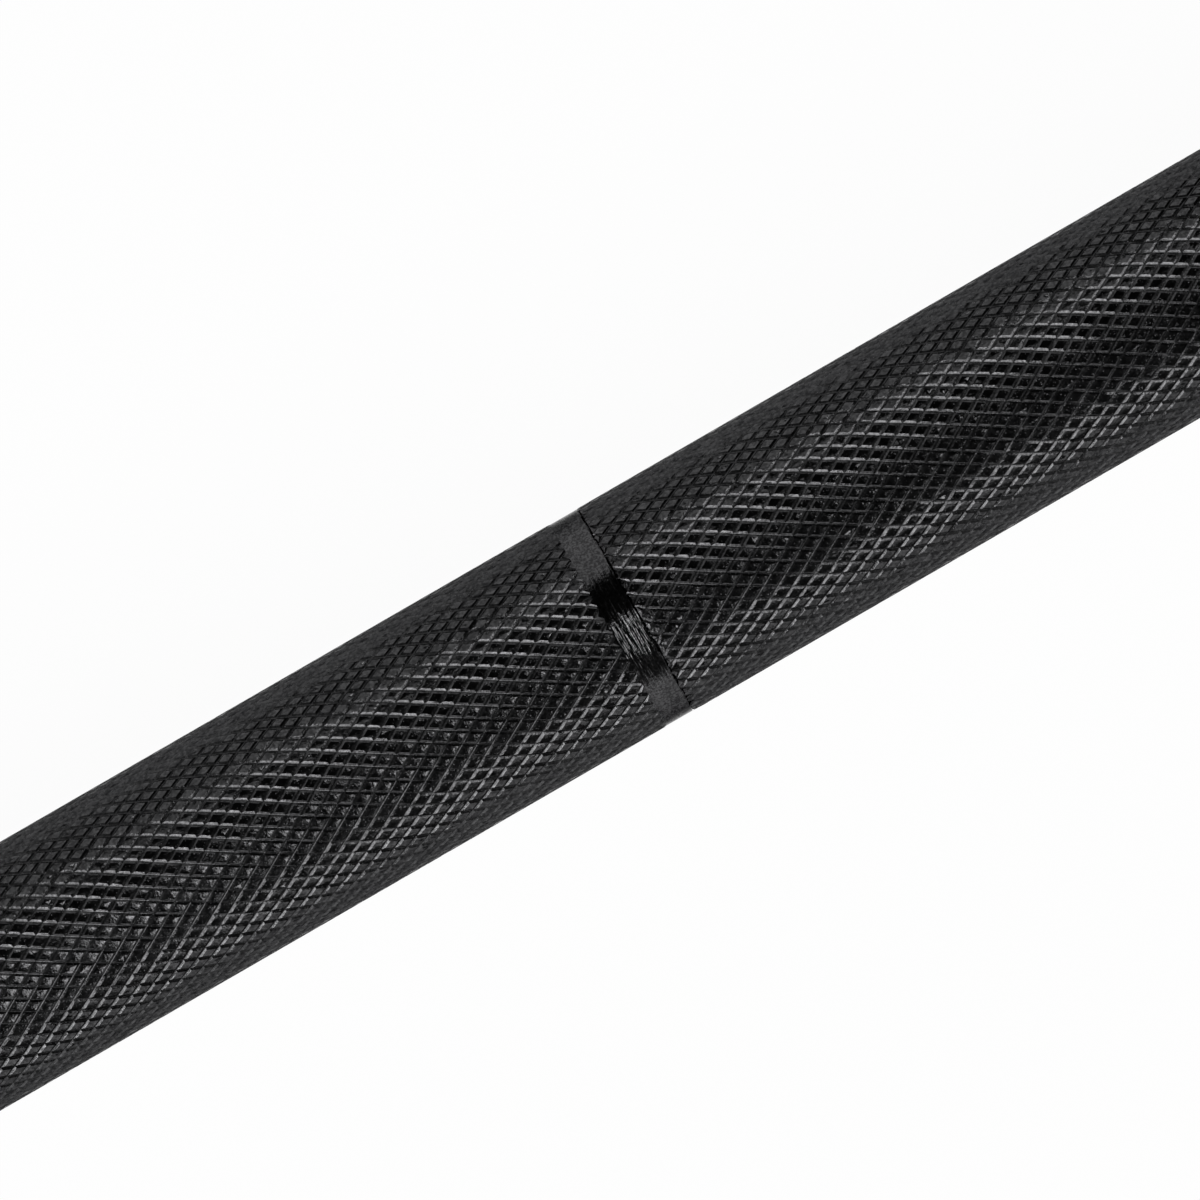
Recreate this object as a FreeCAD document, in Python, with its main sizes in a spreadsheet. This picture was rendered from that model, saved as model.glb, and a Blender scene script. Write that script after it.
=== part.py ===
"""Olympic barbell: a knurled steel shaft with a free-turning plate sleeve on each end.

Frame: X runs along the bar, +Z is up, and the origin is the middle of the shaft on its axis. Millimetres.
Each sleeve turns on two flanged bronze bushings and a needle roller bearing. It is held along the shaft
between a shoulder and a retaining ring, each faced by a thrust washer. The right-hand end (+X) is modelled,
and the left-hand end is the same set of pieces turned half a turn about Z.
"""

import FreeCAD
import Part
import Sketcher

import os
import re

# Driving dimensions: name, value in millimetres (or a plain count), meaning.
SIZES = [
    ("grip_length", 1310, "shaft length between the two collars"),
    ("shaft_dia", 28, "bare shaft diameter"),
    ("knurl_rise", 0.06, "height of the knurl crests above the bare shaft"),
    ("knurl_runout", 0.4, "length over which a knurl band rises at its ends"),
    ("centre_knurl_length", 120, "length of the knurl band in the middle"),
    ("grip_knurl_length", 440, "length of each outer knurl band"),
    ("grip_knurl_gap", 5, "bare shaft between an outer knurl band and the collar"),
    ("ring_spacing", 910, "distance between the inner edges of the two ring marks"),
    ("ring_width", 3.8, "width of a smooth ring mark in the knurl"),
    ("journal_dia", 24.96, "diameter of the ground shaft end inside a sleeve"),
    ("shoulder_inset", 6, "depth of the shaft shoulder inside the collar face"),
    ("shoulder_chamfer", 0.6, "chamfer on the shaft shoulder"),
    ("relief_width", 1.6, "width of the grinding relief at the root of the journal"),
    ("relief_depth", 0.25, "depth of the grinding relief"),
    ("shaft_tail", 3.5, "shaft beyond its retaining ring groove"),
    ("shaft_end_chamfer", 1.2, "chamfer on the end of the shaft"),
    ("lathe_centre_dia", 6, "mouth of the lathe centre in each shaft end"),
    ("lathe_centre_depth", 5, "depth of the lathe centre"),
    ("sleeve_dia", 50, "outer diameter of the sleeve that carries the plates"),
    ("sleeve_length", 415, "plate length of the sleeve, collar face to end"),
    ("sleeve_end_chamfer", 2, "lead-in chamfer on the end of the sleeve"),
    ("sleeve_mouth_chamfer", 0.5, "chamfer inside the mouth of the sleeve"),
    ("sleeve_face_inset", 0.5, "sleeve tube end below the inner face of the collar"),
    ("cap_wall", 4, "wall of the sleeve around the end cap"),
    ("cap_seat", 2, "width of the step that the end cap sits on"),
    ("spigot_step", 2, "depth of the step on the sleeve that the collar is pressed over"),
    ("bore_step", 1.6, "depth of the step from the bearing seats down to the sleeve's middle bore"),
    ("inner_seat_margin", 2, "inner bearing seat beyond the end of its bushing"),
    ("collar_dia", 76, "outer diameter of the collar"),
    ("collar_width", 30, "width of the collar along the bar"),
    ("collar_round", 4, "rounded edge on the hand side of the collar"),
    ("collar_chamfer", 1.5, "chamfer on the plate side of the collar"),
    ("collar_relief_width", 0.6, "gap around the sleeve in the plate face of the collar"),
    ("collar_relief_depth", 2, "depth of that gap, down to the sleeve's step"),
    ("undercut_depth", 0.5, "depth of the undercut around the sleeve where it leaves the collar"),
    ("undercut_width", 1, "undercut beyond the plate face of the collar"),
    ("collar_bore_chamfer", 0.8, "chamfer on the collar's bore at its hand side"),
    ("bushing_length", 25, "inner bushing without its flange"),
    ("outer_bushing_length", 20, "outer bushing without its flange"),
    ("flange_width", 3, "thickness of a bushing flange"),
    ("flange_gap", 0.1, "gap around a bushing flange in its counterbore"),
    ("bushing_chamfer", 0.8, "lead-in chamfer on the pressed end of a bushing"),
    ("running_clearance", 0.05, "radial clearance of a bushing on the journal"),
    ("washer_width", 2, "thickness of a thrust washer"),
    ("washer_clearance", 0.1, "radial clearance of a thrust washer on the journal"),
    ("washer_rim_gap", 0.5, "gap around a thrust washer"),
    ("axial_clearance", 0.1, "end play at each thrust face"),
    ("needle_dia", 2.5, "diameter of a needle roller"),
    ("needle_length", 15.8, "length of a needle roller"),
    ("needle_count", 16, "needle rollers in one bearing, a count"),
    ("needle_clearance", 0.02, "radial clearance on each side of a needle roller"),
    ("cup_wall", 0.98, "wall of the bearing's drawn cup"),
    ("cup_width", 20, "width of the bearing's drawn cup"),
    ("cup_lip_width", 1, "thickness of the cup's turned-in lips"),
    ("cup_lip_clearance", 0.6, "gap between a cup lip and the journal"),
    ("cage_wall", 1.3, "wall of the roller cage"),
    ("cage_end_clearance", 0.2, "gap between the cage and each cup lip"),
    ("pocket_clearance", 0.1, "gap on each side of a roller in its pocket"),
    ("bearing_gap", 4, "space between the bearing and the outer bushing"),
    ("end_room", 18, "depth of the room between the outer counterbore floor and the end cap"),
    ("shaft_ring_width", 1.2, "thickness of the shaft retaining ring"),
    ("shaft_ring_wall", 3, "widest wall of the shaft retaining ring"),
    ("shaft_ring_groove_depth", 0.53, "depth of its groove in the journal"),
    ("cap_ring_width", 1.75, "thickness of the end cap retaining ring"),
    ("cap_ring_wall", 3.4, "widest wall of the end cap retaining ring"),
    ("cap_ring_groove_depth", 1.25, "depth of its groove in the sleeve"),
    ("cap_ring_land", 2.25, "sleeve left between that groove and the end face"),
    ("ring_play", 0.1, "play of a retaining ring in the width of its groove"),
    ("ring_seat_clearance", 0.02, "gap between a retaining ring and its groove floor"),
    ("ring_taper", 0.7, "offset of a retaining ring's two circles, which thins it towards its gap"),
    ("ring_gap", 5, "opening of a retaining ring at its circlip-plier lugs"),
    ("lug_dia", 5, "diameter of a retaining ring lug"),
    ("lug_hole_dia", 2, "plier hole in a lug"),
    ("cap_width", 6, "thickness of the end cap"),
    ("cap_clearance", 0.1, "gap around the end cap"),
    ("cap_rim_width", 3, "width of the raised rim on the end cap"),
    ("cap_dish_depth", 0.8, "depth of the dished face inside that rim"),
    ("cap_boss_dia", 20, "diameter of the raised boss in the middle of the cap"),
    ("cap_edge_chamfer", 0.6, "chamfer around the end cap"),
    ("seal_width", 4.4, "width of the dust seal"),
    ("seal_inset", 0.4, "dust seal below the end of the sleeve tube"),
    ("seal_lip_width", 1.2, "width of the dust seal's lip along the shaft"),
    ("seal_wall", 2, "wall of the dust seal behind its lip"),
    ("seal_clearance", 0.05, "gap between the seal's lip and the shaft"),
]

# Places along X and sizes that follow from the driving dimensions: name, expression, meaning.
DERIVED = [
    ("half_grip", "grip_length / 2", "inner face of the collar"),
    ("plate_face", "half_grip + collar_width", "plate face of the collar"),
    ("sleeve_end", "plate_face + sleeve_length", "outer end of the sleeve"),
    ("shoulder", "half_grip + shoulder_inset", "shaft shoulder"),
    ("inner_washer", "shoulder + axial_clearance", "inner thrust washer"),
    ("inner_flange", "inner_washer + washer_width + axial_clearance", "flange of the inner bushing"),
    ("inner_floor", "inner_flange + flange_width", "floor of the inner counterbore"),
    ("cap_ring", "sleeve_end - cap_ring_land - cap_ring_width", "end cap retaining ring"),
    ("cap_face", "cap_ring - ring_play / 2", "outer face of the end cap"),
    ("cap_floor", "cap_face - cap_width", "step that the end cap sits on"),
    ("outer_floor", "cap_floor - end_room", "floor of the outer counterbore"),
    ("outer_flange_face", "outer_floor + flange_width", "face of the outer bushing's flange"),
    ("outer_washer", "outer_flange_face + axial_clearance", "outer thrust washer"),
    ("shaft_ring", "outer_washer + washer_width + axial_clearance", "shaft retaining ring"),
    ("shaft_end", "shaft_ring + shaft_ring_width + shaft_tail", "end of the shaft"),
    ("cup_end", "outer_floor - outer_bushing_length - bearing_gap", "outer end of the bearing cup"),
    ("cup_start", "cup_end - cup_width", "inner end of the bearing cup"),
    ("cup_middle", "cup_end - cup_width / 2", "middle of the bearing"),
    ("cage_start", "cup_start + cup_lip_width + cage_end_clearance", "inner end of the roller cage"),
    ("cage_end", "cup_end - cup_lip_width - cage_end_clearance", "outer end of the roller cage"),
    ("shaft_radius", "shaft_dia / 2", "bare shaft"),
    ("knurl_radius", "shaft_radius + knurl_rise", "crests of the knurl"),
    ("journal_radius", "journal_dia / 2", "journal"),
    ("pitch_radius", "journal_radius + needle_clearance + needle_dia / 2", "circle of the roller centres"),
    ("race_radius", "pitch_radius + needle_dia / 2 + needle_clearance", "inside of the bearing cup"),
    ("bore_radius", "race_radius + cup_wall", "bearing seats in the sleeve"),
    ("middle_bore", "bore_radius - bore_step", "bore of the sleeve between its bearing seats"),
    ("cap_radius", "sleeve_dia / 2 - cap_wall", "recess for the end cap"),
    ("counterbore_radius", "cap_radius - cap_seat", "counterbores at both ends of the sleeve"),
    ("spigot_radius", "sleeve_dia / 2 - spigot_step", "seat of the collar on the sleeve"),
    ("collar_radius", "collar_dia / 2", "rim of the collar"),
    ("shaft_ring_seat", "journal_radius - shaft_ring_groove_depth", "floor of the shaft ring groove"),
    ("cap_ring_seat", "cap_radius + cap_ring_groove_depth", "floor of the cap ring groove"),
    ("bushing_radius", "journal_radius + running_clearance", "bore of a bushing"),
    ("flange_radius", "counterbore_radius - flange_gap", "rim of a bushing flange"),
    ("washer_radius", "counterbore_radius - washer_rim_gap", "rim of a thrust washer"),
    ("washer_bore", "journal_radius + washer_clearance", "bore of a thrust washer"),
]

SIDES = {"right": 0, "left": 180}
FULL_TURN = 360

doc = FreeCAD.newDocument("Barbell")
sheet = doc.addObject("Spreadsheet::Sheet", "Sizes")
NAMES = {name for name, _, _ in SIZES + DERIVED}


def bound(expression):
    """The expression with each size's name pointing at its cell in the sheet."""

    def cell(word):
        return "Sizes." + word.group() if word.group() in NAMES else word.group()

    return re.sub(r"[a-z_]+", cell, expression)


def fill_sheet():
    """One row per size: name, value, meaning. Derived rows hold formulas on the rows above them."""
    for row, (name, value, meaning) in enumerate(SIZES + DERIVED, start=1):
        sheet.set(f"A{row}", name)
        sheet.set(f"B{row}", "=" + value if isinstance(value, str) else str(value))
        sheet.setAlias(f"B{row}", name)
        sheet.set(f"C{row}", meaning)
    doc.recompute()


def origin_feature(body, role):
    """The plane or axis of a body's own origin that has this role."""
    return next(feature for feature in body.Origin.OriginFeatures if feature.Role == role)


def new_sketch(body, name, role, offset="0"):
    """A sketch on one of the body's origin planes, moved along the plane's normal by the offset."""
    sketch = body.newObject("Sketcher::SketchObject", name)
    sketch.AttachmentSupport = [(origin_feature(body, role), "")]
    sketch.MapMode = "FlatFace"
    sketch.setExpression("AttachmentOffset.Base.z", bound(offset))
    return sketch


def pin_point(sketch, geometry, position, across, up):
    """Ties a point of the sketch to two expressions, measured from the sketch's origin."""
    for kind, expression in (("DistanceX", across), ("DistanceY", up)):
        number = sketch.addConstraint(Sketcher.Constraint(kind, -1, 1, geometry, position, geometry + 1.0))
        sketch.setExpression(f"Constraints[{number}]", bound(expression))


def draw_outline(sketch, corners):
    """A closed outline of straight edges. Each corner is a pair of expressions."""
    first = sketch.GeometryCount
    count = len(corners)
    places = [FreeCAD.Vector(k, k * k, 0) for k in range(count + 1)]
    for start, end in zip(places, places[1:]):
        sketch.addGeometry(Part.LineSegment(start, end))
    for k, (across, up) in enumerate(corners):
        sketch.addConstraint(Sketcher.Constraint("Coincident", first + k, 2, first + (k + 1) % count, 1))
        pin_point(sketch, first + k, 1, across, up)


def draw_circle(sketch, across, up, radius):
    """A circle with its centre and radius given as expressions."""
    circle = sketch.addGeometry(Part.Circle(FreeCAD.Vector(1, 1, 0), FreeCAD.Vector(0, 0, 1), 1))
    pin_point(sketch, circle, 3, across, up)
    number = sketch.addConstraint(Sketcher.Constraint("Radius", circle, 1.0))
    sketch.setExpression(f"Constraints[{number}]", bound(radius))


def turned(label, corners):
    """A body turned about X. Each corner of its outline is a place along X and a radius."""
    body = doc.addObject("PartDesign::Body", label)
    outline = new_sketch(body, label + "_outline", "XZ_Plane")
    draw_outline(outline, corners)
    turn = body.newObject("PartDesign::Revolution", label + "_turn")
    turn.Profile = outline
    turn.ReferenceAxis = (outline, ["H_Axis"])
    turn.Angle = FULL_TURN
    return body


def pressed(body, kind, sketch, depth, reverse=False):
    """A Pad or a Pocket of the sketch, as deep as the expression says."""
    feature = body.newObject("PartDesign::" + kind, sketch.Name + "_" + kind.lower())
    feature.Profile = sketch
    feature.setExpression("Length", bound(depth))
    feature.Reversed = reverse
    return feature


def round_edge(body, along, radius, size):
    """A fillet on the circular edge that lies at these two cells' place along X and radius."""
    doc.recompute()
    base = body.Tip
    rim = [
        f"Edge{number}"
        for number, edge in enumerate(base.Shape.Edges, start=1)
        if edge.isClosed()
        and same(edge.Curve.Center.x, cell_value(along))
        and same(edge.Curve.Radius, cell_value(radius))
    ]
    fillet = body.newObject("PartDesign::Fillet", body.Name + "_round")
    fillet.Base = (base, rim)
    fillet.setExpression("Radius", bound(size))


def same(one, other):
    """Whether two lengths are equal within the modelling tolerance."""
    return abs(one - other) < Part.Precision.confusion()


def cell_value(name):
    """The number in the cell of this name."""
    return float(sheet.get(name))


def make_shaft():
    """The shaft: half of its outline turned about X, then mirrored.

    Knurl bands stand at the height of their crests.
    """
    ring_inner = "ring_spacing / 2"
    ring_outer = "ring_spacing / 2 + ring_width"
    grip_outer = "half_grip - grip_knurl_gap"
    grip_inner = grip_outer + " - grip_knurl_length"
    groove_end = "shaft_ring + shaft_ring_width + ring_play / 2"
    body = turned(
        "shaft",
        [
            ("0", "0"),
            ("0", "knurl_radius"),
            ("centre_knurl_length / 2 - knurl_runout", "knurl_radius"),
            ("centre_knurl_length / 2", "shaft_radius"),
            (grip_inner, "shaft_radius"),
            (grip_inner + " + knurl_runout", "knurl_radius"),
            (ring_inner + " - knurl_runout", "knurl_radius"),
            (ring_inner, "shaft_radius"),
            (ring_outer, "shaft_radius"),
            (ring_outer + " + knurl_runout", "knurl_radius"),
            (grip_outer + " - knurl_runout", "knurl_radius"),
            (grip_outer, "shaft_radius"),
            ("shoulder - shoulder_chamfer", "shaft_radius"),
            ("shoulder", "shaft_radius - shoulder_chamfer"),
            ("shoulder", "journal_radius - relief_depth"),
            ("shoulder + relief_width", "journal_radius - relief_depth"),
            ("shoulder + relief_width + relief_depth", "journal_radius"),
            ("shaft_ring - ring_play / 2", "journal_radius"),
            ("shaft_ring - ring_play / 2", "shaft_ring_seat"),
            (groove_end, "shaft_ring_seat"),
            (groove_end, "journal_radius"),
            ("shaft_end - shaft_end_chamfer", "journal_radius"),
            ("shaft_end", "journal_radius - shaft_end_chamfer"),
            ("shaft_end", "lathe_centre_dia / 2"),
            ("shaft_end - lathe_centre_depth", "0"),
        ],
    )
    doc.recompute()
    mirror = body.newObject("PartDesign::Mirrored", "shaft_mirror")
    mirror.Originals = [body.Tip]
    mirror.MirrorPlane = (origin_feature(body, "YZ_Plane"), [""])
    body.Tip = mirror
    return body


def make_sleeve(label):
    """The sleeve tube, with the collar's spigot, a counterbore at each end and the end cap's recess."""
    outer = "sleeve_dia / 2"
    start = "half_grip + sleeve_face_inset"
    step = "plate_face - collar_relief_depth"
    groove_end = "cap_ring + cap_ring_width + ring_play / 2"
    return turned(
        label,
        [
            (start, "counterbore_radius"),
            (start, "spigot_radius"),
            (step, "spigot_radius"),
            (step, outer + " - undercut_depth"),
            ("plate_face + undercut_width", outer + " - undercut_depth"),
            ("plate_face + undercut_width", outer),
            ("sleeve_end - sleeve_end_chamfer", outer),
            ("sleeve_end", outer + " - sleeve_end_chamfer"),
            ("sleeve_end", "cap_radius + sleeve_mouth_chamfer"),
            ("sleeve_end - sleeve_mouth_chamfer", "cap_radius"),
            (groove_end, "cap_radius"),
            (groove_end, "cap_ring_seat"),
            ("cap_ring - ring_play / 2", "cap_ring_seat"),
            ("cap_ring - ring_play / 2", "cap_radius"),
            ("cap_floor", "cap_radius"),
            ("cap_floor", "counterbore_radius"),
            ("outer_floor", "counterbore_radius"),
            ("outer_floor", "bore_radius"),
            ("cup_start", "bore_radius"),
            ("cup_start", "middle_bore"),
            ("inner_floor + bushing_length + inner_seat_margin", "middle_bore"),
            ("inner_floor + bushing_length + inner_seat_margin", "bore_radius"),
            ("inner_floor", "bore_radius"),
            ("inner_floor", "counterbore_radius"),
        ],
    )


def make_collar(label):
    """The collar, pressed over the sleeve's spigot, with a relief around the sleeve on its plate side."""
    relief = "sleeve_dia / 2 + collar_relief_width"
    step = "plate_face - collar_relief_depth"
    body = turned(
        label,
        [
            ("half_grip", "spigot_radius + collar_bore_chamfer"),
            ("half_grip", "collar_radius"),
            ("plate_face - collar_chamfer", "collar_radius"),
            ("plate_face", "collar_radius - collar_chamfer"),
            ("plate_face", relief),
            (step, relief),
            (step, "spigot_radius"),
            ("half_grip + collar_bore_chamfer", "spigot_radius"),
        ],
    )
    round_edge(body, "half_grip", "collar_radius", "collar_round")
    return body


def make_bushing(label, floor, length, way, back):
    """A flanged bronze bushing: its flange on the counterbore's floor and its body pressed into the bore.

    way and back are the signs of the directions along X in which the body and the flange lie.
    """
    return turned(
        label,
        [
            (f"{floor} {back} flange_width", "bushing_radius"),
            (f"{floor} {back} flange_width", "flange_radius"),
            (floor, "flange_radius"),
            (floor, "bore_radius"),
            (f"{floor} {way} ({length} - bushing_chamfer)", "bore_radius"),
            (f"{floor} {way} {length}", "bore_radius - bushing_chamfer"),
            (f"{floor} {way} {length}", "bushing_radius"),
        ],
    )


def make_washer(label, start):
    """A hardened thrust washer on the journal."""
    end = start + " + washer_width"
    return turned(
        label,
        [
            (start, "washer_bore"),
            (start, "washer_radius"),
            (end, "washer_radius"),
            (end, "washer_bore"),
        ],
    )


def make_seal(label):
    """The dust seal: a wall in the sleeve's counterbore and a lip that runs on the bare shaft."""
    start = "half_grip + sleeve_face_inset + seal_inset"
    lip = "shaft_radius + seal_clearance"
    wall = "counterbore_radius - seal_wall"
    return turned(
        label,
        [
            (start, lip),
            (start, "counterbore_radius"),
            (start + " + seal_width", "counterbore_radius"),
            (start + " + seal_width", wall),
            (start + " + 2 * seal_lip_width", wall),
            (start + " + seal_lip_width", lip),
        ],
    )


def make_cup(label):
    """The bearing's drawn cup: a thin shell with a lip turned in at each end."""
    lip = "journal_radius + cup_lip_clearance"
    return turned(
        label,
        [
            ("cup_start", lip),
            ("cup_start", "bore_radius"),
            ("cup_end", "bore_radius"),
            ("cup_end", lip),
            ("cup_end - cup_lip_width", lip),
            ("cup_end - cup_lip_width", "race_radius"),
            ("cup_start + cup_lip_width", "race_radius"),
            ("cup_start + cup_lip_width", lip),
        ],
    )


def make_cage(label):
    """The roller cage: a ring with one pocket for each needle roller."""
    inside = "pitch_radius - cage_wall / 2"
    outside = "pitch_radius + cage_wall / 2"
    body = turned(
        label,
        [
            ("cage_start", inside),
            ("cage_start", outside),
            ("cage_end", outside),
            ("cage_end", inside),
        ],
    )
    near, far = (f"cup_middle {sign} (needle_length / 2 + pocket_clearance)" for sign in "-+")
    side = "needle_dia / 2 + pocket_clearance"
    window = new_sketch(body, label + "_window", "XZ_Plane")
    draw_outline(window, [(near, f"-({side})"), (far, f"-({side})"), (far, side), (near, side)])
    doc.recompute()
    pocket = pressed(body, "Pocket", window, "pitch_radius + cage_wall")
    doc.recompute()
    pattern = body.newObject("PartDesign::PolarPattern", label + "_windows")
    pattern.Originals = [pocket]
    pattern.Axis = (origin_feature(body, "X_Axis"), [""])
    pattern.Angle = FULL_TURN
    pattern.setExpression("Occurrences", bound("needle_count"))
    body.Tip = pattern
    return body


def make_needles(label):
    """The needle rollers of one bearing, each a solid of its own, on the pitch circle."""
    rollers = []
    for k in range(int(cell_value("needle_count"))):
        roller = doc.addObject("Part::Cylinder", f"{label}_{k}")
        roller.setExpression("Radius", bound("needle_dia / 2"))
        roller.setExpression("Height", bound("needle_length"))
        roller.Placement.Rotation = FreeCAD.Rotation(FreeCAD.Vector(0, 1, 0), FULL_TURN / 4)
        roller.setExpression("Placement.Base.x", bound("cup_middle - needle_length / 2"))
        angle = f"{k} * {FULL_TURN} / needle_count"
        roller.setExpression("Placement.Base.y", bound(f"pitch_radius * sin({angle})"))
        roller.setExpression("Placement.Base.z", bound(f"pitch_radius * cos({angle})"))
        rollers.append(roller)
    group = doc.addObject("Part::Compound", label)
    group.Links = rollers
    return group


def make_retaining_ring(label, start, width, inner, outer, lug_at):
    """A circlip: two circles off centre, cut by a gap at the top, with a drilled lug on each side of it.

    inner and outer are (radius, height of the centre), and lug_at is the height of the lugs' centres.
    """
    body = doc.addObject("PartDesign::Body", label)
    ring = new_sketch(body, label + "_ring", "YZ_Plane", start)
    for radius, height in (inner, outer):
        draw_circle(ring, "0", height, radius)
    pressed(body, "Pad", ring, width)
    side = "ring_gap / 2 + lug_dia / 2"
    lugs = new_sketch(body, label + "_lugs", "YZ_Plane", start)
    holes = new_sketch(body, label + "_holes", "YZ_Plane", start)
    for across in (side, f"-({side})"):
        draw_circle(lugs, across, lug_at, "lug_dia / 2")
        draw_circle(holes, across, lug_at, "lug_hole_dia / 2")
    pressed(body, "Pad", lugs, width)
    gap = new_sketch(body, label + "_gap", "YZ_Plane", start)
    reach = f"{outer[0]} + lug_dia"
    near, far = "-ring_gap / 2", "ring_gap / 2"
    draw_outline(gap, [(near, "0"), (far, "0"), (far, reach), (near, reach)])
    doc.recompute()
    pressed(body, "Pocket", gap, width, reverse=True)
    doc.recompute()
    pressed(body, "Pocket", holes, width, reverse=True)
    return body


def make_shaft_ring(label):
    """The retaining ring in the shaft's groove, with its lugs standing outwards."""
    inside = "shaft_ring_seat + ring_seat_clearance"
    outside = "shaft_ring_seat + shaft_ring_wall - ring_taper"
    lug_at = "shaft_ring_seat + lug_dia / 2"
    return make_retaining_ring(
        label, "shaft_ring", "shaft_ring_width", (inside, "0"), (outside, "-ring_taper"), lug_at
    )


def make_cap_ring(label):
    """The retaining ring in the sleeve's groove, with its lugs standing inwards."""
    outside = "cap_ring_seat - ring_seat_clearance"
    inside = "cap_ring_seat - cap_ring_wall + ring_taper"
    lug_at = f"{inside} - lug_dia / 4"
    return make_retaining_ring(
        label, "cap_ring", "cap_ring_width", (inside, "ring_taper"), (outside, "0"), lug_at
    )


def make_cap(label):
    """The end cap: a disc with a raised rim, a dished face and a low boss in the middle."""
    rim = "cap_radius - cap_clearance"
    dish = "cap_face - cap_dish_depth"
    return turned(
        label,
        [
            ("cap_floor", "0"),
            ("cap_floor", rim + " - cap_edge_chamfer"),
            ("cap_floor + cap_edge_chamfer", rim),
            ("cap_face - cap_edge_chamfer", rim),
            ("cap_face", rim + " - cap_edge_chamfer"),
            ("cap_face", rim + " - cap_rim_width"),
            (dish, rim + " - cap_rim_width - cap_dish_depth"),
            (dish, "cap_boss_dia / 2 + cap_dish_depth"),
            ("cap_face", "cap_boss_dia / 2"),
            ("cap_face", "0"),
        ],
    )


def make_end(side):
    """All the pieces of one end of the bar, turned about Z to their side."""
    pieces = [
        make_sleeve(f"{side}_sleeve"),
        make_collar(f"{side}_collar"),
        make_seal(f"{side}_dust_seal"),
        make_washer(f"{side}_inner_thrust_washer", "inner_washer"),
        make_bushing(f"{side}_inner_bushing", "inner_floor", "bushing_length", "+", "-"),
        make_cup(f"{side}_bearing_cup"),
        make_cage(f"{side}_roller_cage"),
        make_needles(f"{side}_needle_rollers"),
        make_bushing(f"{side}_outer_bushing", "outer_floor", "outer_bushing_length", "-", "+"),
        make_washer(f"{side}_outer_thrust_washer", "outer_washer"),
        make_shaft_ring(f"{side}_shaft_retaining_ring"),
        make_cap(f"{side}_end_cap"),
        make_cap_ring(f"{side}_cap_retaining_ring"),
    ]
    for piece in pieces:
        piece.Placement = FreeCAD.Placement(
            FreeCAD.Vector(), FreeCAD.Rotation(FreeCAD.Vector(0, 0, 1), SIDES[side])
        )
    return pieces


def check(pieces):
    """Stops if any object failed to build or a piece has no valid solid."""
    failed = [thing.Label for thing in doc.Objects if {"Invalid", "Error"} & set(thing.State)]
    failed += [p.Label for p in pieces if p.Shape.isNull() or not p.Shape.isValid() or not p.Shape.Solids]
    if failed:
        raise RuntimeError("failed to build: " + ", ".join(failed))


def main():
    fill_sheet()
    pieces = [make_shaft()]
    for side in SIDES:
        pieces += make_end(side)
    doc.recompute()
    check(pieces)
    os.makedirs("parts", exist_ok=True)
    for piece in pieces:
        piece.Shape.exportStep(f"parts/{piece.Label}.step")
        shape = piece.Shape
        print(f"{piece.Label}: solids {len(shape.Solids)}, volume {shape.Volume:.1f}, {shape.BoundBox}")


main()
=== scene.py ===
"""Looks of an olympic barbell: a black knurled shaft, chromed sleeves and a plain white studio.

Frame: metres, X along the bar, +Z up, the origin in the middle of the shaft on its axis. The shaft is drawn
anew, with every knurl diamond as geometry. The other pieces keep their solids and get their finishes here.
"""

import math

import bpy
import numpy as np
from bpy.props import FloatProperty, FloatVectorProperty, IntProperty, PointerProperty
from mathutils import Matrix, Vector


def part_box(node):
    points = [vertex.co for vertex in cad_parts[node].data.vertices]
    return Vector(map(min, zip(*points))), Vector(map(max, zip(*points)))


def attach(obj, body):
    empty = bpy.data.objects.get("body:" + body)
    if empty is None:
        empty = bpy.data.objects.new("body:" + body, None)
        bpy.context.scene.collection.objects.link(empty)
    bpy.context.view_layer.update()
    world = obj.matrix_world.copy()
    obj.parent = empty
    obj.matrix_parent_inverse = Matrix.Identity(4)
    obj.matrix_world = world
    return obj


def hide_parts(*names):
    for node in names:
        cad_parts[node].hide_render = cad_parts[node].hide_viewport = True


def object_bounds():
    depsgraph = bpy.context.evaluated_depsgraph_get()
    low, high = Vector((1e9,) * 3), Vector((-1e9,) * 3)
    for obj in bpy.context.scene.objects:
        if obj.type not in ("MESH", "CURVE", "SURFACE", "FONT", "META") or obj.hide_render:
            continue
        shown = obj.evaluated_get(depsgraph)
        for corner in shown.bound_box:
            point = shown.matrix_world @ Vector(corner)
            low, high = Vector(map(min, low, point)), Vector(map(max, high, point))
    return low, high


bl_info = {
    "name": "Olympic barbell looks",
    "version": (1, 0, 0),
    "blender": (4, 5, 0),
    "location": "View3D > Sidebar > Barbell",
    "description": "Knurled shaft, finishes and a plain studio for a packed olympic barbell",
    "category": "Object",
}

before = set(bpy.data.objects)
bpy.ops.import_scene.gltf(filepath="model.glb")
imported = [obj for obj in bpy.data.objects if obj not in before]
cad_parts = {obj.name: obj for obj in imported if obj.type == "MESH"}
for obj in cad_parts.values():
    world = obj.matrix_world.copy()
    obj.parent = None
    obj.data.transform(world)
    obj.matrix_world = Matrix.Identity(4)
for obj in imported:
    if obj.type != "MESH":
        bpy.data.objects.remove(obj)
CAD_LOW, CAD_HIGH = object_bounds()

MM = 0.001
SIDES = ("right", "left")
BAKE_MAP = "OFBake"
SEED = 28
# Moves by chance stay within this many times their usual size.
STRAY_LIMIT = 2
# Whole units of u + v that a knurl grid reaches past each end of its band.
SPARE_UNITS = 2
# Weights of the two noises in the colour of a plain finish.
MAIN, MINOR = 0.6, 0.4
# Grains to the metre of the slow noises in the plain finishes.
TURNED_CLOUDS = 60
LINE_BREAKS = 60
FACE_CLOUDS = 150
SKIN_CLOUDS = 120
# Roughness that a turned line adds.
LINE_ROUGH = 0.1
COLLAR_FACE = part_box("right_collar")[0].x
SHAFT_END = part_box("shaft")[1].x


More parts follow.
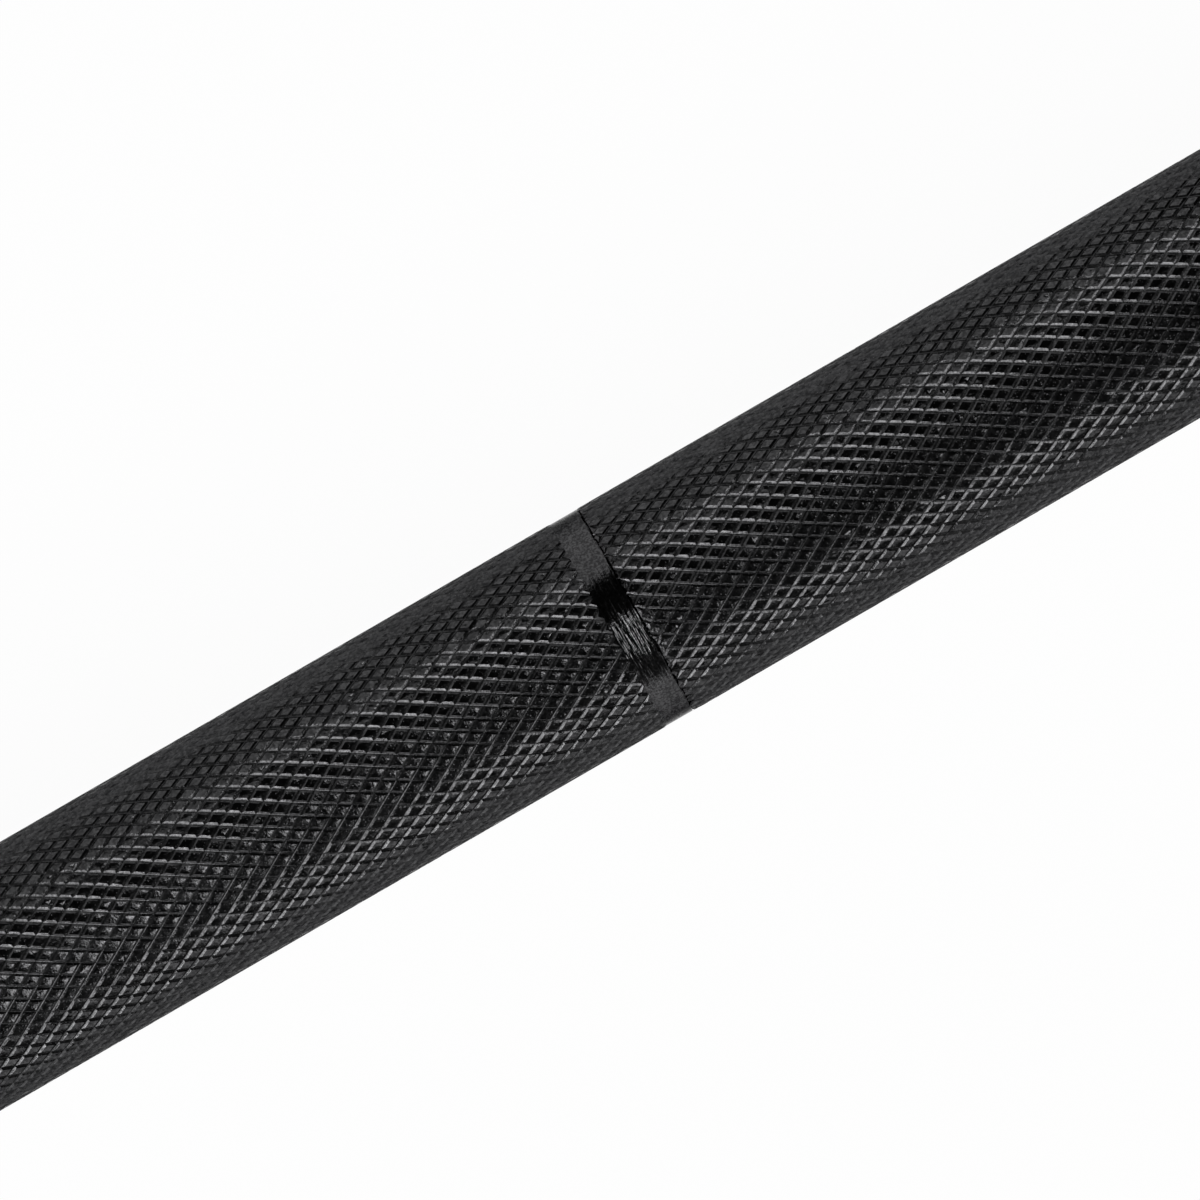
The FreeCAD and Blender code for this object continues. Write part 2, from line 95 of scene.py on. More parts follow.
def length(name, description, value):
    """A property that holds a length in metres."""
    return FloatProperty(
        name=name, description=description, default=value, precision=5, unit="LENGTH"
    )


def share(name, description, value):
    """A property that holds a share from 0 to 1."""
    return FloatProperty(
        name=name, description=description, default=value, min=0, max=1, subtype="FACTOR"
    )


def number(name, description, value):
    """A property that holds a plain number."""
    return FloatProperty(name=name, description=description, default=value)


def turn(name, description, degrees):
    """A property that holds an angle, given in degrees."""
    return FloatProperty(
        name=name, description=description, default=math.radians(degrees), unit="ROTATION"
    )


def colour(name, description, value):
    """A property that holds a colour."""
    return FloatVectorProperty(
        name=name, description=description, default=value, size=3, min=0, max=1, subtype="COLOR"
    )


class BarbellShaft(bpy.types.PropertyGroup):
    """Sizes of the shaft."""

    radius: length("Radius", "Bare shaft, and the floor of the ring marks", 14 * MM)
    crest: length("Crest radius", "Tops of the knurl", 14.06 * MM)
    centre_half: length("Centre knurl half", "Half the length of the middle knurl band", 60 * MM)
    grip_length: length("Grip knurl", "Length of each outer knurl band", 440 * MM)
    grip_gap: length("Grip gap", "Bare shaft between an outer band and the collar", 5 * MM)
    ring_inner: length("Ring mark", "Inner edge of a ring mark, from the middle", 455 * MM)
    ring_width: length("Ring width", "Width of a ring mark", 3.8 * MM)
    score_inset: length("Score inset", "Scored line's start inside the outer edge of a ring mark", 0.2 * MM)
    score_width: length("Score width", "Width of the scored line", 0.6 * MM)
    score_depth: length("Score depth", "Depth of the scored line", 0.28 * MM)
    shoulder_inset: length("Shoulder inset", "Shoulder beyond the collar's face", 6 * MM)
    shoulder_chamfer: length("Shoulder chamfer", "Chamfer on the shoulder", 0.6 * MM)
    journal: length("Journal radius", "Ground shaft end inside a sleeve", 12.48 * MM)
    relief_width: length("Relief width", "Grinding relief at the root of the journal", 1.6 * MM)
    relief_depth: length("Relief depth", "Depth of the grinding relief", 0.25 * MM)
    groove_tail: length("Groove tail", "Shaft beyond its ring groove", 3.45 * MM)
    groove_width: length("Groove width", "Width of the ring groove", 1.3 * MM)
    groove_depth: length("Groove depth", "Depth of the ring groove", 0.53 * MM)
    end_chamfer: length("End chamfer", "Chamfer on the end of the shaft", 1.2 * MM)
    centre_mouth: length("Lathe centre", "Mouth radius of the lathe centre", 3 * MM)
    centre_depth: length("Centre depth", "Depth of the lathe centre", 5 * MM)
    segments: IntProperty(name="Segments", description="Faces around a turned piece", default=256)
    crease: turn("Crease", "Edges of a turned piece sharper than this are crisp", 30)


class BarbellKnurl(bpy.types.PropertyGroup):
    """Sizes of the knurl."""

    starts: IntProperty(name="Starts", description="Grooves of each hand around the shaft", default=48)
    falling_step: length("Falling step", "Distance along the bar between falling grooves", 2.87 * MM)
    rising_step: length("Rising step", "Distance along the bar between rising grooves", 3.07 * MM)
    depth: length("Depth", "Depth of a groove below the crests", 0.168 * MM)
    wall_share: share("Wall share", "Steep part of a groove's wall, as a share of the pitch", 0.145)
    foot_share: share("Foot share", "Shallow foot of that wall, as a share of the pitch", 0.045)
    foot_rise: length("Foot rise", "Height of the shallow foot", 0.02 * MM)
    crease: turn("Crease", "Edges sharper than this are crisp", 11)
    wander: length("Wander", "How far a pad's edge strays from its line", 0.018 * MM)
    groove_wander: length("Groove wander", "How far a groove strays from its line", 0.006 * MM)
    crater: length("Crater", "Depth of the sunk floor of a pad", 0.045 * MM)
    crater_floor: share("Crater floor", "Width of that floor, as a share of the pad", 0.4)
    crater_wander: length("Crater wander", "How far the corners of a crater's floor stray", 0.07 * MM)
    crater_spread: share("Crater spread", "How far craters differ in depth, as a share", 0.6)
    unevenness: length("Unevenness", "How far crests differ in height", 0.004 * MM)
    runout: length("Run-out", "Ragged end of the knurl on the outer side of a ring mark", 0.6 * MM)
    root_gap: length("Root gap", "Core below the bottom of the grooves", 0.03 * MM)
    edge_drop: length("Edge drop", "How far a band's end sits below the bare shaft", 0.01 * MM)
    piece_length: length("Piece length", "Longest stretch of knurl in one piece", 100 * MM)


class BarbellFinish(bpy.types.PropertyGroup):
    """Colours and finishes."""

    black: colour("Black", "Black finish of the shaft", (0.032, 0.032, 0.033))
    black_worn: colour("Worn black", "Black finish where it has thinned", (0.080, 0.080, 0.082))
    black_edge: colour("Black edge tint", "Reflection of the black finish near its edges", (0.39, 0.39, 0.39))
    chrome: colour("Chrome", "Hard chrome of sleeves and collars", (0.5, 0.51, 0.52))
    chrome_dull: colour("Dull chrome", "Hard chrome where plates have rubbed", (0.4, 0.41, 0.42))
    bronze: colour("Bronze", "Machined bronze of the bushings", (0.58, 0.37, 0.17))
    bronze_oiled: colour("Oiled bronze", "Bronze where oil has darkened it", (0.36, 0.21, 0.09))
    steel: colour("Ground steel", "Bearing steel", (0.55, 0.55, 0.56))
    steel_dull: colour("Dull steel", "Bearing steel between grinding lines", (0.42, 0.42, 0.43))
    sheet_steel: colour("Sheet steel", "Pressed steel of the roller cages", (0.38, 0.38, 0.39))
    phosphate: colour("Phosphate", "Phosphated spring steel", (0.06, 0.06, 0.065))
    phosphate_pale: colour("Pale phosphate", "Phosphate crystals that catch light", (0.1, 0.1, 0.105))
    anodised: colour("Anodised", "Black anodised end caps", (0.04, 0.04, 0.042))
    anodised_pale: colour("Pale anodised", "Turned lines in the end caps", (0.07, 0.07, 0.073))
    rubber: colour("Rubber", "Dust seals", (0.02, 0.02, 0.02))
    rubber_bloom: colour("Rubber bloom", "Grey bloom on the rubber", (0.045, 0.045, 0.045))


class BarbellGrain(bpy.types.PropertyGroup):
    """Grain of the black finish."""

    clouds: number("Clouds", "Clouds to the metre", 900)
    worn_clouds: share("Worn clouds", "Weight of the clouds in where the finish has thinned", 0.35)
    worn_grain: share("Worn grain", "Weight of the fine grain in it", 0.65)
    worn_start: share("Worn start", "Sum of both at which thinning starts", 0.4)
    worn_full: share("Worn full", "Sum of both at which it is greatest", 0.62)
    bare_grain: number("Bare grain", "Fine grains to the metre on the bare shaft", 3800)
    bare_rough: share("Bare roughness", "Least roughness of the bare shaft", 0.1)
    bare_cloud_rough: share("Bare clouds", "Roughness that clouds add there", 0.06)
    scratches: number("Scratches", "Lathe scratches to the metre along the bare shaft", 4800)
    scratch_breaks: number("Scratch breaks", "Breaks to the metre round each scratch", 420)
    scratch_grain: share("Scratch grain", "Height of the fine grain, as a share of the scratches'", 0.2)
    scratch_strength: share("Scratch strength", "Strength of the scratches", 0.9)
    scratch_height: length("Scratch height", "Height of the scratches", 0.1 * MM)
    knurl_grain: number("Knurl grain", "Fine grains to the metre on the knurl", 2800)
    knurl_rough: share("Knurl roughness", "Least roughness of the knurl", 0.135)
    knurl_cloud_rough: share("Knurl clouds", "Roughness that clouds add there", 0.08)
    groove_rough: share("Groove roughness", "Roughness that the grooves add", 0.06)
    pit_rough: share("Pit roughness", "Roughness that pits add", 0.12)
    specks: number("Specks", "Specks to the metre on the knurl", 3000)
    speck_strength: share("Speck strength", "Strength of the specks", 0.8)
    speck_height: length("Speck height", "Height of the specks", 0.04 * MM)
    dish_start: length("Dish start", "Depth below the crests at which a pad's floor starts", 0.012 * MM)
    dish_full: length("Dish full", "Depth from which a place is wholly floor or groove", 0.04 * MM)
    dish_specks: share("Dish specks", "How much higher specks are from there down", 0.3)
    # Painted shade: this setting keeps the colour darker in the floors of the pads, as shade in a recess.
    dish_shade: share("Dish shade", "How much less the finish has thinned from there down", 0.3)
    groove_start: length("Groove start", "Depth below the crests at which a groove starts", 0.06 * MM)
    groove_full: length("Groove full", "Depth from which a place is wholly groove", 0.13 * MM)
    groove_specks: share("Groove specks", "How much lower specks are in a groove than in a floor", 0.8)
    # Painted shade: this setting keeps the colour darker still in the grooves, as shade in a recess.
    groove_shade: share("Groove shade", "How much less the finish has thinned there than in a floor", 0.1)
    pits: number("Pits", "Pits to the metre", 2400)
    pit_floor: share("Pit floor", "Radius of a pit's floor, as a share of the pits' spacing", 0.1)
    pit_rim: share("Pit rim", "Radius of a pit's rim, as a share of the pits' spacing", 0.26)
    pit_depth: share("Pit depth", "Depth of a pit, as a share of the specks' height", 0.35)


class BarbellStudio(bpy.types.PropertyGroup):
    """Camera, lamps and surroundings."""

    lens: FloatProperty(name="Lens", description="Focal length", default=150, unit="CAMERA")
    distance: length("Camera distance", "Camera above the shaft's axis", 603 * MM)
    shift_x: length("Aim along", "View's centre from the ring mark's middle, along the bar", -1.25 * MM)
    shift_y: length("Aim across", "View's centre from the shaft's axis", 3.13 * MM)
    roll: turn("Roll", "How far the bar rises to the right in the picture", 30)
    lamp_distance: length("Lamp distance", "Lamps from the ring mark", 4.0)
    key_along: turn("Key along", "Key lamp's lean along the bar", -29)
    key_across: turn("Key across", "Key lamp's lean across the bar", -21.75)
    key_width: turn("Key width", "Key lamp's width along the bar", 34)
    key_breadth: turn("Key breadth", "Key lamp's breadth across the bar", 36.5)
    key_radiance: number("Key radiance", "Brightness of the key lamp's face", 5.5)
    tail_along: turn("Tail along", "Lean along the bar of the key lamp's outer tail", -37)
    tail_across: turn("Tail across", "The tail's lean across the bar", -42.5)
    tail_width: turn("Tail width", "The tail's width along the bar", 18)
    tail_breadth: turn("Tail breadth", "The tail's breadth across the bar", 6)
    fill_along: turn("Fill along", "Fill lamp's lean along the bar", 38)
    fill_across: turn("Fill across", "Fill lamp's lean across the bar", -8)
    fill_width: turn("Fill width", "Fill lamp's width along the bar", 20)
    fill_breadth: turn("Fill breadth", "Fill lamp's breadth across the bar", 15)
    fill_radiance: number("Fill radiance", "Brightness of the fill lamp's face", 5)
    far_wall: turn("Far wall", "White wall on the +Y side, from this lean down", 44)
    near_wall: turn("Near wall", "White wall on the -Y side, from this lean down", 78)
    wall_blur: turn("Wall blur", "Soft edge of the white walls", 5)
    far_rake: turn("Far rake", "How far the far wall's edge sinks towards its ends", 64)
    near_rake: turn("Near rake", "How far the near wall's edge climbs towards its ends", 120)
    near_level: number("Near level", "Brightness of the wall on the -Y side", 1.05)
    near_fall: number("Near fall", "How fast that wall darkens towards +X", 1.3)
    near_peak: number("Near peak", "Greatest brightness of that wall", 1.4)
    ceiling: share("Ceiling", "Brightness of the dark ceiling", 0.015)
    far_level: number("Far level", "Brightness of the wall on the +Y side", 0.88)
    side_start: number("Side start", "Lean along -X at which the ceiling starts to brighten, as a sine", 0.3)
    side_glow: number("Side glow", "How fast the ceiling brightens from there", 0.72)
    haze_start: turn("Haze start", "Lean towards -Y at which the ceiling starts to brighten", 15)
    haze_end: turn("Haze end", "Lean towards -Y at which it is brightest", 75)
    haze: share("Haze", "How bright the ceiling gets towards the wall on the -Y side", 0.085)
    floor_white: share("Floor white", "How far the floor is lifted to white in the picture", 0.96)
    floor_size: length("Floor size", "Width of the floor", 60.0)
    floor_colour: colour("Floor colour", "Pale floor", (0.8, 0.8, 0.8))


class Tone:
    """A node socket that can stand in a sum: each operator adds the Math node that works it out."""

    def __init__(self, tree, socket):
        self.tree = tree
        self.socket = socket

    def math(self, operation, *values):
        return self.tree.node("ShaderNodeMath", {"operation": operation}, dict(enumerate(values)))

    def __add__(self, other):
        return self.math("ADD", self, other)

    def __radd__(self, other):
        return self.math("ADD", other, self)

    def __sub__(self, other):
        return self.math("SUBTRACT", self, other)

    def __rsub__(self, other):
        return self.math("SUBTRACT", other, self)

    def __mul__(self, other):
        return self.math("MULTIPLY", self, other)

    def __pow__(self, other):
        return self.math("POWER", self, other)


class Tree:
    """A node tree to which nodes are added one by one."""

    def __init__(self, owner):
        owner.use_nodes = True
        self.tree = owner.node_tree
        self.tree.nodes.clear()

    def node(self, kind, settings=None, inputs=None, output=0):
        """Adds a node, sets it, fills or links its sockets, and returns the output asked for."""
        made = self.tree.nodes.new(kind)
        for name, value in (settings or {}).items():
            setattr(made, name, value)
        for key, value in (inputs or {}).items():
            socket = self.find(made.inputs, key)
            if isinstance(value, Tone):
                self.tree.links.new(value.socket, socket)
            else:
                socket.default_value = value
        return Tone(self, self.find(made.outputs, output)) if made.outputs else None

    @staticmethod
    def find(sockets, key):
        """The socket with this number, identifier or name."""
        if isinstance(key, int):
            return sockets[key]
        return next(s for s in sockets if key in (s.identifier, s.name))

    def place(self, stretch=(1, 1, 1)):
        """Object coordinates, stretched along each axis."""
        here = self.node("ShaderNodeTexCoord", output="Object")
        return self.node("ShaderNodeMapping", {"vector_type": "POINT"}, {"Vector": here, "Scale": stretch})

    def noise(self, along, across=None, detail=2.0, roughness=0.5):
        """Noise from 0 to 1, with so many grains to the metre along X and, if it differs, across it."""
        across = along if across is None else across
        where = self.place((along, across, across))
        return self.node(
            "ShaderNodeTexNoise",
            {"noise_dimensions": "3D"},
            {"Vector": where, "Scale": 1.0, "Detail": detail, "Roughness": roughness},
        )

    def split(self, vector):
        """X, Y and Z of a vector."""
        first = self.node("ShaderNodeSeparateXYZ", {}, {"Vector": vector})
        return [Tone(self, part) for part in first.socket.node.outputs]

    def away(self):
        """The distance from the bar's axis."""
        _, across, up = self.split(self.place())
        return (across * across + up * up) ** 0.5

    def step(self, value, low, high):
        """0 below low, 1 above high and a smooth rise between them."""
        return self.node(
            "ShaderNodeMapRange",
            {"interpolation_type": "SMOOTHSTEP", "clamp": True},
            {"Value": value, "From Min": low, "From Max": high},
        )

    def blend(self, factor, one, other):
        """A colour between two, by the factor."""
        return self.node(
            "ShaderNodeMix",
            {"data_type": "RGBA", "blend_type": "MIX"},
            {"Factor_Float": factor, "A_Color": paint(one), "B_Color": paint(other)},
            "Result_Color",
        )

    def bump(self, height, strength, distance):
        """A normal from a height, with the distance that a height of 1 stands for."""
        return self.node(
            "ShaderNodeBump", {}, {"Height": height, "Strength": strength, "Distance": distance}
        )

    def surface(self, inputs):
        """The shader of the whole material."""
        shader = self.node("ShaderNodeBsdfPrincipled", {}, inputs)
        self.node("ShaderNodeOutputMaterial", {}, {"Surface": shader})


def paint(value):
    """A colour with its alpha."""
    return (*value, 1.0)


def new_material(name):
    """An empty material and its tree."""
    material = bpy.data.materials.new(name)
    return material, Tree(material)


def thinned(tree, cloud, fine, grain):
    """How far the black finish has thinned: a smooth step of a weighted sum of clouds and fine grain."""
    mixed = cloud * grain.worn_clouds + fine * grain.worn_grain
    return tree.step(mixed, grain.worn_start, grain.worn_full)


def scratched_black(name, finish, grain):
    """Black finish on the bare shaft: a dark mirror-like coat with lathe scratches round the bar.

    Scratches are noise used as height, drawn out round the bar, so that it varies mostly along X.
    """
    material, tree = new_material(name)
    cloud = tree.noise(grain.clouds, detail=3.0, roughness=0.6)
    scratches = tree.noise(grain.scratches, grain.scratch_breaks, detail=1.0)
    fine = tree.noise(grain.bare_grain, detail=1.0)
    worn = thinned(tree, cloud, fine, grain)
    height = scratches + fine * grain.scratch_grain
    tree.surface(
        {
            "Base Color": tree.blend(worn, finish.black, finish.black_worn),
            "Metallic": 1.0,
            "Roughness": grain.bare_rough + cloud * grain.bare_cloud_rough,
            "Specular Tint": paint(finish.black_edge),
            "Normal": tree.bump(height, grain.scratch_strength, grain.scratch_height),
        }
    )
    return material


def knurled_black(name, finish, grain, crest):
    """Black finish on the knurl, with specks, scattered pits and a grainy colour.

    The depth of a place is the crest's radius less its distance from the bar's axis. Specks are a fine
    noise, less its mean of a half, used as height. They are highest in the floors of the pads and lowest in
    the grooves. Pits are sunk where a place is close to one of many scattered points. Grooves and pits are
    rougher. The finish thins by chance, as wear. Less of that wear shows in the floors of the pads, and least
    in the grooves: this is painted shade, a darker colour in those recesses.
    """
    material, tree = new_material(name)
    cloud = tree.noise(grain.clouds, detail=3.0, roughness=0.6)
    specks = tree.noise(grain.specks)
    fine = tree.noise(grain.knurl_grain, roughness=0.6)
    cells = tree.node(
        "ShaderNodeTexVoronoi",
        {"feature": "F1"},
        {"Vector": tree.place((grain.pits, grain.pits, grain.pits)), "Scale": 1.0},
        "Distance",
    )
    pits = 1 - tree.step(cells, grain.pit_floor, grain.pit_rim)
    depth = crest - tree.away()
    dish = tree.step(depth, grain.dish_start, grain.dish_full)
    groove = tree.step(depth, grain.groove_start, grain.groove_full)
    speck_size = 1 + dish * grain.dish_specks - groove * grain.groove_specks
    height = (specks - 0.5) * speck_size - pits * grain.pit_depth
    # Painted shade: the random wear colour is held back in the pad floors and grooves, so these recesses are
    # darker.
    unshaded = 1 - dish * grain.dish_shade - groove * grain.groove_shade
    worn = thinned(tree, cloud, fine, grain) * unshaded
    smooth = grain.knurl_rough + cloud * grain.knurl_cloud_rough
    tree.surface(
        {
            "Base Color": tree.blend(worn, finish.black, finish.black_worn),
            "Metallic": 1.0,
            "Roughness": smooth + groove * grain.groove_rough + pits * grain.pit_rough,
            "Specular Tint": paint(finish.black_edge),
            "Normal": tree.bump(height, grain.speck_strength, grain.speck_height),
        }
    )
    return material


def turned_metal(name, clean, dull, roughness, lines, height):
    """Turned or ground metal: colour, gloss and height follow fine lines round the bar and slow clouds.

    Lines are noise that varies quickly along X and slowly round it.
    """
    material, tree = new_material(name)
    cloud = tree.noise(TURNED_CLOUDS, detail=3.0, roughness=0.55)
    line = tree.noise(lines, LINE_BREAKS, roughness=0.6)
    dulled = tree.step(cloud * MAIN + line * MINOR, low=0.35, high=0.75)
    cloud_rough = 0.06
    tree.surface(
        {
            "Base Color": tree.blend(dulled, clean, dull),
            "Metallic": 1.0,
            "Roughness": roughness + line * LINE_ROUGH + cloud * cloud_rough,
            "Normal": tree.bump(line, strength=0.3, distance=height),
        }
    )
    return material


def faced_metal(name, clean, dull, roughness, lines, height):
    """A turned face: colour, gloss and height follow rings round the bar's axis and slow clouds.

    Rings are noise that varies with the distance from the axis.
    """
    material, tree = new_material(name)
    ring = tree.node(
        "ShaderNodeTexNoise",
        {"noise_dimensions": "1D"},
        {"W": tree.away() * lines, "Scale": 1.0, "Detail": 2.0},
    )
    cloud = tree.noise(FACE_CLOUDS, detail=3.0, roughness=0.55)
    dulled = tree.step(ring * MAIN + cloud * MINOR, low=0.35, high=0.7)
    cloud_rough = 0.08
    tree.surface(
        {
            "Base Color": tree.blend(dulled, clean, dull),
            "Metallic": 1.0,
            "Roughness": roughness + ring * LINE_ROUGH + cloud * cloud_rough,
            "Normal": tree.bump(ring, strength=0.3, distance=height),
        }
    )
    return material


def grained(name, base, pale, roughness, grain, height, metallic):
    """A fine crystalline or moulded skin: colour and height follow one fine grain, gloss follows clouds."""
    material, tree = new_material(name)
    fine = tree.noise(grain, detail=3.0, roughness=0.6)
    cloud = tree.noise(SKIN_CLOUDS, detail=3.0)
    paled = tree.step(fine * MAIN + cloud * MINOR, low=0.4, high=0.7)
    cloud_rough = 0.15
    tree.surface(
        {
            "Base Color": tree.blend(paled, base, pale),
            "Metallic": metallic,
            "Roughness": roughness + cloud * cloud_rough,
            "Normal": tree.bump(fine, strength=0.4, distance=height),
        }
    )
    return material


def put_mesh(name, points, faces, body, material, places=None):
    """A new object with this mesh that rides on a body.

    places, if given, holds a place on the map for each corner of each face.
    """
    mesh = bpy.data.meshes.new(name)
    size = faces.shape[1]
    mesh.vertices.add(len(points))
    mesh.vertices.foreach_set("co", points.astype(np.float32).ravel())
    mesh.loops.add(faces.size)
    mesh.loops.foreach_set("vertex_index", faces.astype(np.int32).ravel())
    mesh.polygons.add(len(faces))
    mesh.polygons.foreach_set("loop_start", np.arange(0, faces.size, size, dtype=np.int32))
    mesh.update(calc_edges=True)
    if places is not None:
        layer = mesh.uv_layers.new(name=BAKE_MAP)
        layer.uv.foreach_set("vector", places.astype(np.float32).ravel())
    if mesh.validate():
        raise RuntimeError(f"the mesh of {name} had faults")
    mesh.materials.append(material)
    piece = bpy.data.objects.new(name, mesh)
    bpy.context.scene.collection.objects.link(piece)
    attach(piece, body)
    return piece


def lathe(name, outline, segments, body, material, crease):
    """A turned piece: a closed outline of (x, radius) corners carried round the X axis.

    Point (k, m) is corner k at the angle 2 pi m / segments. Corners on the axis stay one point each.
    """
    x, r = np.array(outline, float).T
    angle = np.linspace(0, 2 * np.pi, segments, endpoint=False)
    points = np.stack(
        [
            np.repeat(x[:, None], segments, 1),
            r[:, None] * np.sin(angle),
            r[:, None] * np.cos(angle),
        ],
        axis=-1,
    ).reshape(-1, 3)
    rows, columns = np.meshgrid(np.arange(len(x)), np.arange(segments), indexing="ij")
    on_axis = (r == 0)[:, None]
    index = np.where(on_axis, rows * segments, rows * segments + columns)
    after = np.roll(index, -1, axis=1)
    low, high = index, np.roll(index, -1, axis=0)
    low_after, high_after = after, np.roll(after, -1, axis=0)
    quads = np.stack([low, low_after, high_after, high], axis=-1).reshape(-1, 4)
    halves = np.concatenate([quads[:, [0, 1, 2]], quads[:, [0, 2, 3]]])
    corners = np.sort(halves, axis=1)
    whole = (corners[:, 0] != corners[:, 1]) & (corners[:, 1] != corners[:, 2])
    halves = halves[whole]
    used, packed = np.unique(halves, return_inverse=True)
    piece = put_mesh(name, points[used], packed.reshape(-1, 3), body, material)
    piece.data.set_sharp_from_angle(angle=crease)
    return piece


def dished(rims, floors):
    """Triangles of dished pads, the sides and then the floors, from the corners of each rim and floor."""
    next_rims, next_floors = np.roll(rims, -1, axis=1), np.roll(floors, -1, axis=1)
    upper = np.stack([rims, next_rims, next_floors], -1).reshape(-1, 3)
    lower = np.stack([rims, next_floors, floors], -1).reshape(-1, 3)
    return np.concatenate([upper, lower, floors[:, [0, 1, 2]], floors[:, [0, 2, 3]]])


def knurl_grid(low, high, shaft, knurl, ragged):
    """The knurl between two places along the bar.

    Grooves of each hand are lines of a whole number in u = starts * angle / turn + x / falling step and in
    v = -starts * angle / turn + x / rising step. Grid point (i, j) has the i-th value of u and the (j - i)-th
    of v, so x follows j, and the last column meets the first. Each unit of u and v is cut at 0, at the foot
    of the wall and at the rim of the pad, and the same from its other end. The depth is the greater of the
    two hands' depths there. Each pad slopes from its rim down to a sunk floor.

    ragged is the length over which the band's start is uneven, or its end where it is negative. The result
    is the points, the triangles, the place round the map of each triangle's corners, and which points belong
    to the floors of pads.
    """
    rim = knurl.foot_share + knurl.wall_share
    parts = np.array([0, knurl.foot_share, rim, 1 - rim, 1 - knurl.foot_share])
    foot = knurl.depth - knurl.foot_rise
    depths = np.array([knurl.depth, foot, 0, 0, foot])
    groove_stray, rim_stray = knurl.groove_wander, knurl.wander
    strays = np.array([groove_stray, groove_stray, rim_stray, rim_stray, groove_stray])
    count, pad_part = len(parts), 2
    columns = knurl.starts * count
    density = 1 / knurl.falling_step + 1 / knurl.rising_step
    random = np.random.default_rng(SEED)

    def placed(u, v, sunk, reach):
        """Points at (u, v), moved a little by chance and held between the band's ends."""
        x = (u + v) / density
        angle = 2 * np.pi / knurl.starts * (u - x / knurl.falling_step)
        stray = random.normal(0, 1, (3, *u.shape)).clip(-STRAY_LIMIT, STRAY_LIMIT)
        uneven = ragged * random.random(u.shape)
        start, end = low + np.maximum(uneven, 0), high + np.minimum(uneven, 0)
        held = np.clip(x + stray[0] * reach, start, end)
        outside = (held <= start) | (held >= end)
        angle = angle + stray[1] * reach / shaft.crest
        radius = shaft.crest - sunk - np.abs(stray[2]) * knurl.unevenness
        radius = np.where(outside, np.minimum(radius, shaft.radius - knurl.edge_drop), radius)
        points = np.stack([held, radius * np.sin(angle), radius * np.cos(angle)], axis=-1)
        return points.reshape(-1, 3), outside.ravel()

    first = (math.floor(low * density) - SPARE_UNITS) * count
    last = (math.ceil(high * density) + SPARE_UNITS) * count
    i, j = np.meshgrid(np.arange(columns), np.arange(first, last + 1), indexing="ij")
    u_part, v_part = i % count, (j - i) % count
    u = i // count + parts[u_part]
    v = (j - i) // count + parts[v_part]
    sunk = np.maximum(depths[u_part], depths[v_part])
    points, outside = placed(u, v, sunk, np.minimum(strays[u_part], strays[v_part]))

    rows = u.shape[1]
    column, row = np.meshgrid(np.arange(columns), np.arange(rows - 2), indexing="ij")
    right = (column + 1) % columns
    near, other = column * rows + row, column * rows + row + 1
    side, far = right * rows + row + 1, right * rows + row + 2
    u_part, v_part = u_part[:, :-2], v_part[:, :-2]
    is_pad = (u_part == pad_part) & (v_part == pad_part)
    pad_size = parts[pad_part + 1] - parts[pad_part]
    half = pad_size * knurl.crater_floor / 2
    pad_u = u[:, :-2][is_pad][:, None] + pad_size / 2 + half * np.array([-1, -1, 1, 1])
    pad_v = v[:, :-2][is_pad][:, None] + pad_size / 2 + half * np.array([-1, 1, 1, -1])
    spread = random.uniform(-knurl.crater_spread, knurl.crater_spread, (len(pad_u), 1))
    crater = np.broadcast_to(knurl.crater * (1 + spread), pad_u.shape)
    floors, floors_outside = placed(pad_u, pad_v, crater, knurl.crater_wander)
    floor = (len(points) + np.arange(len(floors))).reshape(-1, 4)
    points = np.concatenate([points, floors])
    outside = np.concatenate([outside, floors_outside])

    straight = ((u_part < pad_part) == (v_part < pad_part))[..., None]
    one = np.where(straight, np.stack([near, other, far], -1), np.stack([near, other, side], -1))
    two = np.where(straight, np.stack([near, far, side], -1), np.stack([other, far, side], -1))
    rims = np.stack([near[is_pad], other[is_pad], far[is_pad], side[is_pad]], -1)
    triangles = np.concatenate([one[~is_pad], two[~is_pad], dished(rims, floor)])

    grid_u = np.append(u[:, 0], knurl.starts)
    left_u, right_u = grid_u[column], grid_u[column + 1]
    one_u = np.stack([left_u, left_u, right_u], -1)
    two_u = np.stack([left_u, right_u, right_u], -1)
    rims_u = np.stack([left_u[is_pad], left_u[is_pad], right_u[is_pad], right_u[is_pad]], -1)
    map_u = np.concatenate([one_u[~is_pad], two_u[~is_pad], dished(rims_u, pad_u)]) / knurl.starts
    kept = ~outside[triangles].all(axis=-1)
    return points, triangles[kept], map_u[kept], np.arange(len(points)) >= floor.min()


def soften(mesh, soft):
    """Makes the edges that end at soft points smooth."""
    ends = np.empty(2 * len(mesh.edges), np.int32)
    mesh.edges.foreach_get("vertices", ends)
    sharp = np.empty(len(mesh.edges), bool)
    mesh.edges.foreach_get("use_edge_sharp", sharp)
    mesh.edges.foreach_set("use_edge_sharp", sharp & ~soft[ends].reshape(-1, 2).any(axis=1))


def roll_knurl(label, low, high, ragged, shaft, knurl, material):
    """A knurl band, cut into pieces along the bar.

    Edges of more than the crease angle are crisp, apart from those that end in the floor of a pad.
    """
    points, triangles, map_u, soft = knurl_grid(low, high, shaft, knurl, ragged)
    along = points[:, 0][triangles]
    pieces = math.ceil((high - low) / knurl.piece_length)
    reached = (along.min(axis=-1) - low) / (high - low)
    piece_of = np.clip((reached * pieces).astype(int), 0, pieces - 1)
    for k in range(pieces):
        mine = piece_of == k
        map_x = (along[mine] - along[mine].min()) / np.ptp(along[mine])
        places = np.stack([map_u[mine], map_x], axis=-1)
        used, packed = np.unique(triangles[mine], return_inverse=True)
        name = f"{label}_knurl_{k + 1}"
        piece = put_mesh(name, points[used], packed.reshape(-1, 3), "shaft", material, places)
        piece.data.set_sharp_from_angle(angle=knurl.crease)
        soften(piece.data, soft[used])


